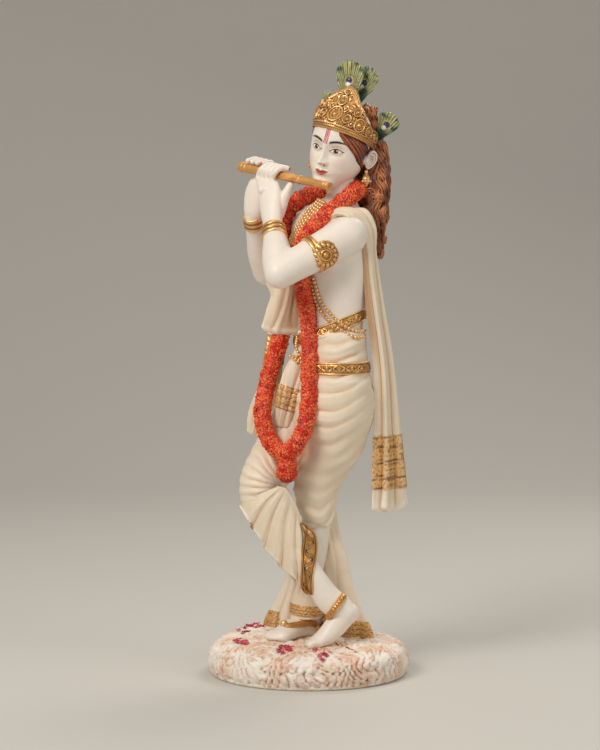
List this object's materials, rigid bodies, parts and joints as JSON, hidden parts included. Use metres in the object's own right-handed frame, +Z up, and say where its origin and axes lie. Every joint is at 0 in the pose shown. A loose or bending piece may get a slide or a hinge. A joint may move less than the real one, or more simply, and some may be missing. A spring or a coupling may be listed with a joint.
{
  "type": "krishna figure",
  "caption": "Standing flute player with a feathered crown, long garland and draped shawl, cast in one with a low round mound; the flute lies in the hands.",
  "frame": {"origin": "middle of the flat underside of the mound", "axes": "+Z up along the figure's height, -Y the way the figure's body faces, +X to its left hand side"},
  "size_m": [0.1105, 0.102, 0.3081],
  "materials": {
    "resin": "ivory resin and marble dust, satin, with a tan wash in the folds",
    "flute_gold": "cast resin rod painted antique gold",
    "gold_paint": "antique gold paint rubbed over dark brown lines",
    "garland_paint": "orange-red paint on carved florets",
    "hair_paint": "red-brown paint with copper brushed on the locks",
    "feather_paint": "green paint with gold barbs and a dark blue eye"
  },
  "bodies": {
    "root": {"figure": "resin", "flute": "flute_gold"}
  },
  "joints": []
}
